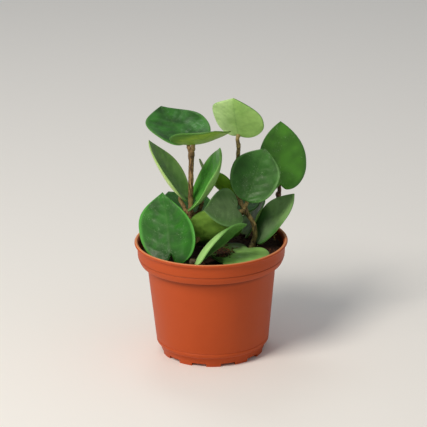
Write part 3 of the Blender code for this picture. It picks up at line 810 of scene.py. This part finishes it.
def waxy_leaf(name, dark, light, under, rim, painted_sheen=0.0, rough=0.36, flecks=0.3, painted_light_and_shade=None, crinkle=1.2):
    """The leaf material. The sheen is a grey sheen painted over the middle of the blade, rough the roughness
    of its wax, and crinkle the height of its dents in mm. The painted light and shade is a part of the blade
    painted lighter or
    darker: the axis of the blade's map, where it starts, where it is full, and the new colour."""
    material, shader = new_material(name)
    blade = add_node("UVMap", {"uv_map": "blade"}, tree=material.node_tree)
    split = add_node("SeparateXYZ", inputs={"Vector": blade.outputs["UV"]})
    share = split.outputs["Y"]
    reach = maths("ABSOLUTE", maths("SUBTRACT", times(split.outputs["X"], 2.0), 1.0))
    skin = kept_number(material, "upper_side")
    place = object_place(material)

    swept = times(maths("POWER", reach, 1.3), VEIN_SWEEP)
    wander = times(cloud_of(place, 6.0), 0.25)
    count = maths("ADD", maths("SUBTRACT", times(share, VEIN_PAIRS), swept), wander)
    side_veins = times(ramp(maths("PINGPONG", count, 0.5), 0.0, 0.07, 1.0, 0.0), ramp(reach, 0.95, 0.6))
    midrib = ramp(reach, 0.0, 0.055, 1.0, 0.0)

    upper = mix_colour(ramp(cloud_of(place, MOTTLE, 1.5), 0.3, 0.7), dark, light)
    upper = mix_colour(times(maths("MAXIMUM", side_veins, midrib), 0.05), upper, under)
    air = ramp(cloud_of(place, FLECK, 1.0), 0.62, 0.72)
    patch = ramp(cloud_of(place, FLECK_PATCH, 1.0), 0.45, 0.65)
    upper = mix_colour(times(air, patch, flecks), upper, "#a9c49c")
    # A painted grey sheen over the middle of the blade.
    if painted_sheen > 0.0:
        middle = maths("ADD", reach, times(cloud_of(place, 5.0), 0.3))
        upper = mix_colour(ramp(middle, 0.95, 0.45, 0.0, painted_sheen), upper, "#8d927f")
    upper = mix_colour(times(ramp(reach, 0.84, 0.97), 0.75), upper, rim)

    pale = mix_colour(ramp(cloud_of(place, UNDER_MOTTLE), 0.3, 0.7), under, light)
    lower = mix_colour(0.72, pale, under)
    faint = maths("MAXIMUM", times(side_veins, 0.3), midrib)
    lower = mix_colour(times(faint, 0.35), lower, light)
    colour = mix_colour(ramp(skin, 0.35, 0.6), lower, upper)
    # Painted light and shade: a part of the blade made lighter or darker.
    if painted_light_and_shade:
        axis, start, full, new_colour = painted_light_and_shade
        ragged = times(maths("SUBTRACT", cloud_of(place, 7.0), 0.5), 0.3)
        painted_part = ramp(maths("ADD", split.outputs[axis], ragged), start, full, 0.0, 0.85)
        colour = mix_colour(painted_part, colour, new_colour)
    outline = times(ramp(reach, 0.95, 0.985, 0.0, 0.6), ramp(skin, 0.35, 0.6, 1.0, 0.0))

    wax = ramp(cloud_of(place, SHINE_PATCH), 0.35, 0.65, rough - 0.06, rough + 0.16)
    roughness = add_node("Mix", {"data_type": "FLOAT"}, {
        "Factor": ramp(skin, 0.35, 0.65), "A": 0.6, "B": wax,
    })
    dents = bump_of(cloud_of(place, DIMPLE, 1.0), 0.8, crinkle)
    fill(shader, {
        "Base Color": mix_colour(outline, colour, light),
        "Roughness": roughness.outputs["Result"],
        "Normal": bump_of(cloud_of(place, SKIN_GRAIN, 2.0), 0.15, 0.1, Normal=dents),
        "IOR": 1.45, "Specular IOR Level": 0.24, "Coat Weight": 0.05, "Coat Roughness": 0.18,
    })
    return material


# %% Colour the leaves
# The four colours are the dark and the light of the upper skin, the lower skin, and the margin.
LOOKS = dict(
    top_left=(("#24501a", "#3a7c2c", "#86a850", "#4b8438"), dict(rough=0.33, crinkle=1.8)),
    # top_front is darker towards one margin: painted shade.
    top_front=(("#24521c", "#437e2c", "#83a53b", "#7d9f48"), dict(painted_light_and_shade=("X", 0.72, 0.95, "#3c6a28"))),
    # top_right is paler towards one margin: painted light.
    top_right=(("#2a5520", "#5a8f3e", "#9bc46c", "#4a6c34"), dict(painted_light_and_shade=("X", 0.35, 0.95, "#cdeea6"))),
    right_tall=(("#3c7022", "#50902c", "#7fa050", "#3c6c2c"), dict(rough=0.45)),
    centre_round=(("#2c561f", "#3c702d", "#7fa052", "#5b8a48"), dict()),
    # centre_small has a painted grey sheen over its middle.
    centre_small=(("#436434", "#547843", "#86a468", "#5c834c"), dict(painted_sheen=0.12, rough=0.5)),
    front_left=(("#1b4e10", "#2a6e18", "#82a556", "#54a440"), dict(rough=0.42, flecks=0.24)),
    back_left=(("#1b4514", "#27581e", "#7a9c4c", "#3d7430"), dict(rough=0.5)),
    # left_upright has a painted grey sheen over its middle.
    left_upright=(("#5e8a48", "#78a45c", "#b9d284", "#96b86c"), dict(painted_sheen=0.1)),
    # middle_upright is lighter than its own green: painted light in its shaded cup.
    middle_upright=(("#489036", "#5ea846", "#90ba6a", "#7cac5a"), dict()),
    # middle_back's bright lower skin and pale tip are painted light shining through the leaf.
    middle_back=(("#33602c", "#4f8230", "#94c83a", "#8fb05c"), dict(painted_light_and_shade=("Y", 0.76, 0.9, "#c6d0a2"))),
    hidden_back=(("#28501f", "#356a28", "#7c9c4e", "#477c34"), dict(rough=0.5)),
    # low_middle is darker on one side: painted shade.
    low_middle=(
        ("#2c5220", "#3c6c28", "#80aa44", "#527f34"),
        dict(painted_light_and_shade=("X", 0.46, 0.36, "#34501a"), crinkle=2.0)),
    # front_curled is darker towards its tip: painted shade.
    front_curled=(("#4a7d36", "#5c9842", "#a0cc7c", "#8ab868"), dict(painted_light_and_shade=("Y", 0.5, 0.72, "#568e3e"))),
    # front_flat is darker on the half under the curled leaf: painted shadow.
    front_flat=(
        ("#84b45a", "#98cc6c", "#80a558", "#7cab5c"),
        dict(rough=0.42, painted_light_and_shade=("X", 0.5, 0.7, "#142606"))),
    # right_low is lighter over its upper half, painted light against the shadow cast on it, and has a painted
    # grey sheen.
    right_low=(
        ("#406f33", "#528643", "#82a558", "#3f702e"),
        dict(painted_sheen=0.3, rough=0.7, painted_light_and_shade=("Y", 0.36, 0.6, "#82ac66"))),
    # right_inner has a painted grey sheen over its middle.
    right_inner=(("#58784a", "#6c9254", "#789850", "#456c34"), dict(painted_sheen=0.25)),
    low_back=(("#25501e", "#336a28", "#7c9c4e", "#477c34"), dict()),
)
for leaf_name, piece in leaf_pieces.items():
    colours, rest = LOOKS[leaf_name]
    dress(piece, waxy_leaf("waxy_leaf_" + leaf_name, *colours, **rest))
    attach(piece, "root")
    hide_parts("leaf_" + leaf_name)
print("leaf materials:", len(LOOKS))

# %% [markdown]
# ## The vines
# The stems are the old, woody part of the plant: four short cuttings stand in the pot. Leaves leave a stem in
# pairs at swollen knots, each on a thick curved stalk. Where the wood forks, bark flows from one branch into
# the next, and plain tubes pushed through one another would show a seam. So each vine's tubes are joined
# and wrapped in one fine skin by a voxel Remesh, then smoothed, like clay over a wire.

# %% The vines, measured
# stem is the way of the main stem from below the soil, in mm. radius is at its foot and its end. Each stalk
# is given from its knot towards its leaf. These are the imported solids' numbers as well, but the stalk of
# hidden_back has a second point here, which closes a chink in the fork.
VINES = dict(
    left=dict(
        stem=[(-12, 10, 62), (-13, 9, 76), (-13.5, 7, 88), (-14, 5, 100), (-13.5, 5.5, 120),
              (-12.6, 5, 147)],
        radius=(2.0, 1.8),
        knots=[(-14, 5, 99.5), (-13.4, 7.4, 85), (-12.6, 5, 143)],
        stalks=dict(
            top_left=[(-12.8, 5, 143), (-14.2, 6.2, 147)],
            top_front=[(-12.8, 5, 143), (-11.4, 4, 147.5)],
            left_upright=[(-14, 5, 99.5), (-17.2, 5.5, 101), (-18.9, 7.5, 104.5)],
            middle_upright=[(-14, 5, 99.5), (-10, 4.5, 99.5), (-7.6, 4.5, 103)],
            back_left=[(-13.4, 7.4, 85), (-11.5, 13, 86)],
            low_middle=[(-13.4, 7.4, 84), (-15, 3, 80.5), (-13.5, -3, 80)],
        )),
    centre=dict(
        stem=[(29, 6, 60), (29, 6, 73), (31, 6, 82), (30.5, 6, 90), (27, 6, 97),
              (24, 5, 102), (19.5, 10, 112), (19.8, 16, 134), (20.5, 9, 149)],
        radius=(1.9, 1.4),
        knots=[(24, 5, 102), (29, 6, 74.5), (19.5, 9, 111)],
        stalks=dict(
            top_right=[(20.4, 9.4, 147)],
            centre_round=[(24, 5, 102), (25, 3.4, 106)],
            centre_small=[(24, 5, 102), (21, 0, 102.5)],
            middle_back=[(21.5, 7.8, 107), (18.5, 14, 103.5)],
            hidden_back=[(27, 6, 97), (23.4, 11.5, 98)],
            front_flat=[(29, 6, 76.6), (29, 2.5, 76.6), (28, -1, 76.4)],
            right_low=[(29, 6, 64), (32, 8, 66), (34, 9, 70)],
        )),
    right=dict(
        stem=[(29, 27, 64), (30, 29, 76), (35.5, 33, 87), (43, 33.5, 93),
              (48, 31, 99.5), (48.7, 27.7, 106.5)],
        radius=(1.7, 1.4),
        knots=[(30, 29, 76), (48.6, 28.2, 105)],
        stalks=dict(
            right_tall=[(48.6, 28.2, 105), (49.2, 26.5, 108.5)],
            right_inner=[(30, 29, 76.5), (28, 25, 76.4)],
            low_back=[(30, 29, 76.5), (22, 34, 76.4), (15, 34.5, 76.4)],
        )),
    front=dict(
        stem=[(-22, -18, 62), (-22, -20, 70), (-22, -22, 76)],
        radius=(1.8, 1.6),
        knots=[(-22, -22, 76)],
        stalks=dict(
            front_left=[(-22, -21.6, 75.6), (-26, -19, 76)],
            front_curled=[(-22, -22, 75), (-17, -34, 74.4), (-14.3, -42, 76.4)],
        )),
)
STALK_RADIUS = 1.45
print("vines:", len(VINES), "stalks:", sum(len(vine["stalks"]) for vine in VINES.values()))


# %% Ways and thickness
def smooth_way(points, step):
    """Points about one step apart on a smooth curve through the given points."""
    way = [np.array(p, dtype=float) for p in points]
    way = [2 * way[0] - way[1]] + way + [2 * way[-1] - way[-2]]
    result = []
    for a, b, c, d in zip(way, way[1:], way[2:], way[3:]):
        count = max(int(round(np.linalg.norm(c - b) / step)), 1)
        for k in range(count):
            t = k / count
            cubic = 2 * b + (c - a) * t + (2 * a - 5 * b + 4 * c - d) * t * t + (3 * b - a - 3 * c + d) * t**3
            result.append(0.5 * cubic)
    result.append(way[-2])
    return result


def stem_radii(way, vine):
    """The stem tapers to its end and swells at each knot."""
    foot, end = vine["radius"]
    radii = []
    for i, place in enumerate(way):
        radius = foot + (end - foot) * i / (len(way) - 1)
        for knot in vine["knots"]:
            distance = float(np.linalg.norm(np.subtract(place, knot)))
            radius += 0.75 * math.exp(-((distance / 2.2) ** 2))
        radii.append(radius)
    return radii


def stalk_way(points, leaf):
    """A stalk's points. It ends just inside the blade, so no gap shows between them."""
    along, _, upper = leaf_frame(leaf)
    arrive = unit(upper + 0.5 * along)
    seat = blade_surface(leaf, np.array([0.035]), np.array([0.0]))[0][0] - 0.5 * upper
    return smooth_way(list(points) + [seat - 3.0 * arrive, seat], 1.2)


def stalk_radii(way):
    """A stalk is thickest where it leaves the knot and where it meets the blade."""
    shares = [i / (len(way) - 1) for i in range(len(way))]
    return [STALK_RADIUS * (1.0 + 0.22 * (2.0 * share - 1.0) ** 4) for share in shares]


def tube(name, way, radii):
    """A round tube along a way, as a mesh."""
    curve = bpy.data.curves.new(name, "CURVE")
    curve.dimensions = "3D"
    curve.bevel_depth = 1.0 * MM
    curve.bevel_resolution = 4
    curve.use_fill_caps = True
    spline = curve.splines.new("POLY")
    spline.points.add(len(way) - 1)
    for item, place, radius in zip(spline.points, way, radii):
        item.co = (*(Vector(place) * MM), 1.0)
        item.radius = radius
    make_active(add_object(name, curve))
    bpy.ops.object.convert(target="MESH")
    return bpy.context.object


vine_ways = {}
for vine_name, vine in VINES.items():
    way = smooth_way(vine["stem"], 1.5)
    ways = {"stem": (way, stem_radii(way, vine))}
    for leaf_name, points in vine["stalks"].items():
        way = stalk_way(points, LEAVES[leaf_name])
        ways[leaf_name] = (way, stalk_radii(way))
    vine_ways[vine_name] = ways
print("ways:", sum(len(ways) for ways in vine_ways.values()))


# %% [markdown]
# ### Bark
# Old hoya wood is furrowed along its length and dotted with small corky spots. Both are carved into the mesh
# itself with noise, so that they also show on the outline against the light. A number kept at every point
# tells how young it is, from 0 on the stem to 1 where a stalk meets its blade: young bark is greener.

# %% Wrap each vine in bark
BARK_VOXEL = 0.34
FURROW = 0.26
SPOT = 0.16


def bark_relief(place):
    """Height of the bark in mm at a place in mm."""
    x, y, z = place
    furrow = noise.noise(Vector((x * 1.1, y * 1.1, z * 0.22)))
    spot = max(noise.noise(Vector((x * 1.9 + 9.0, y * 1.9, z * 1.4))) - 0.15, 0.0)
    lump = noise.noise(Vector((x * 0.35, y * 0.35, z * 0.35 + 4.0)))
    return FURROW * furrow + SPOT * 2.0 * spot + 0.25 * lump


def vine_piece(name, ways):
    """One skin around all tubes of a vine, with bark relief and its youth kept at every point."""
    tubes = [tube(name + "_" + part, way, radii) for part, (way, radii) in ways.items()]
    piece = make_active(*tubes)
    bpy.ops.object.join()
    piece.name = "woody_vine_" + name
    piece.data.name = piece.name
    apply_modifier(piece, "REMESH", mode="VOXEL", voxel_size=BARK_VOXEL * MM)
    apply_modifier(piece, "SMOOTH", factor=0.5, iterations=5)

    stops = []
    for part, (way, radii) in ways.items():
        for i, place in enumerate(way):
            stops.append((*place, 0.0 if part == "stem" else i / (len(way) - 1)))
    stops = np.array(stops)
    youth = []
    for vertex in piece.data.vertices:
        gap = np.linalg.norm(stops[:, :3] - np.array(vertex.co) / MM, axis=1)
        weight = np.exp(-((gap / 1.3) ** 2)) + 1e-9
        youth.append(float((weight * stops[:, 3]).sum() / weight.sum()))
    kept = piece.data.attributes.new("youth", "FLOAT", "POINT")
    kept.data.foreach_set("value", youth)
    pairs = zip(piece.data.vertices, youth)
    shift = [bark_relief(vertex.co / MM) * (1.0 - 0.6 * young) for vertex, young in pairs]
    normals = [vertex.normal.copy() for vertex in piece.data.vertices]
    for vertex, normal, rise in zip(piece.data.vertices, normals, shift):
        vertex.co += normal * rise * MM
    piece.data.update()
    piece.data.shade_smooth()
    return piece


vine_pieces = {name: vine_piece(name, ways) for name, ways in vine_ways.items()}
for piece in vine_pieces.values():
    report(piece)


# %% [markdown]
# ### Weathered wood
# The bark is grey-brown cork over darker furrows. It is dry and matt. Streaks run along the stem, so the
# noise is drawn out along z.

# %% Finish of the vines
def bark(name, light, dark, young):
    """Dry cork: light ridges, dark furrows, and a greener skin on the stalks."""
    material, shader = new_material(name)
    place = object_place(material)
    drawn = add_node("Mapping", inputs={"Vector": place, "Scale": (1.0, 1.0, 0.2)})
    drawn = drawn.outputs["Vector"]
    streak = cloud_of(drawn, 1.0, 4.0)
    blotch = cloud_of(place, 5.0)
    cork = ramp(maths("ADD", streak, times(blotch, 0.5)), 0.6, 0.9)
    colour = mix_colour(cork, dark, light)
    youth = kept_number(material, "youth")
    green = ramp(maths("ADD", youth, times(blotch, 0.3)), 0.45, 1.1, 0.0, 0.85)
    fill(shader, {
        "Base Color": mix_colour(green, colour, young), "Roughness": ramp(streak, 0.3, 0.7, 0.8, 0.6),
        "Normal": bump_of(cloud_of(drawn, 0.5), 0.6, 0.2), "IOR": 1.45,
    })
    return material


BARKS = dict(
    left=("#a98759", "#4c3622", "#8f7a4c"),
    centre=("#94834f", "#463a22", "#8c7c4a"),
    right=("#755038", "#35231a", "#6f5638"),
    front=("#54402a", "#281c13", "#4a3b24"),
)
for vine_name, piece in vine_pieces.items():
    dress(piece, bark("corky_bark_" + vine_name, *BARKS[vine_name]))
    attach(piece, "root")
    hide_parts("vine_" + vine_name)
print("vines:", len(vine_pieces))

# %% [markdown]
# ## Crumbs on a leaf
# Watering has splashed some soil on to the leaf that lies flat at the front. It has gathered on the half that
# lies to the left in the photograph. The crumbs are set on the blade's own surface, so they lie on it however
# it is bent. A pale dry root stands at the edge of the soil on the right.

# %% Scatter crumbs on the flat leaf
def on_the_blade(draw):
    """A place in mm on the flat leaf's upper side, about halfway from its midrib to its right margin."""
    leaf = LEAVES["front_flat"]
    share = min(max(draw.gauss(0.5, 0.12), 0.12), 0.85)
    side = min(max(draw.gauss(0.5, 0.17), -0.1), 0.85)
    places, facing, _ = blade_surface(leaf, np.array([share]), np.array([side]))
    x, y, z = places[0] + facing[0] * (LEAF_THICKNESS / 2.0 - 0.1)
    return x, y, z


def dry_root():
    """A short pale root, bent twice, standing at the edge of the soil."""
    way = smooth_way([(44.5, 15.0, 73.5), (45.4, 15.4, 76.0), (44.9, 16.2, 77.6), (46.6, 16.0, 79.2)], 0.5)
    root = tube("dry_root", way, [0.55 - 0.3 * i / (len(way) - 1) for i in range(len(way))])
    dress(root, dry_straw)
    root.data.shade_smooth()
    report(root)
    return root


dry_straw = crumbly("dry_straw", "#8a6a3c", "#d8bd86", 1.2)
last_bits = [
    scatter("splashed_peat", crumb, moist_peat, 120, on_the_blade, (0.5, 1.3), 21),
    scatter("splashed_bark", crumb, bark_brown, 70, on_the_blade, (0.4, 1.2), 22),
    dry_root(),
]
bpy.data.objects.remove(crumb, do_unlink=True)
for piece in last_bits:
    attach(piece, "root")
print("last bits:", len(last_bits))
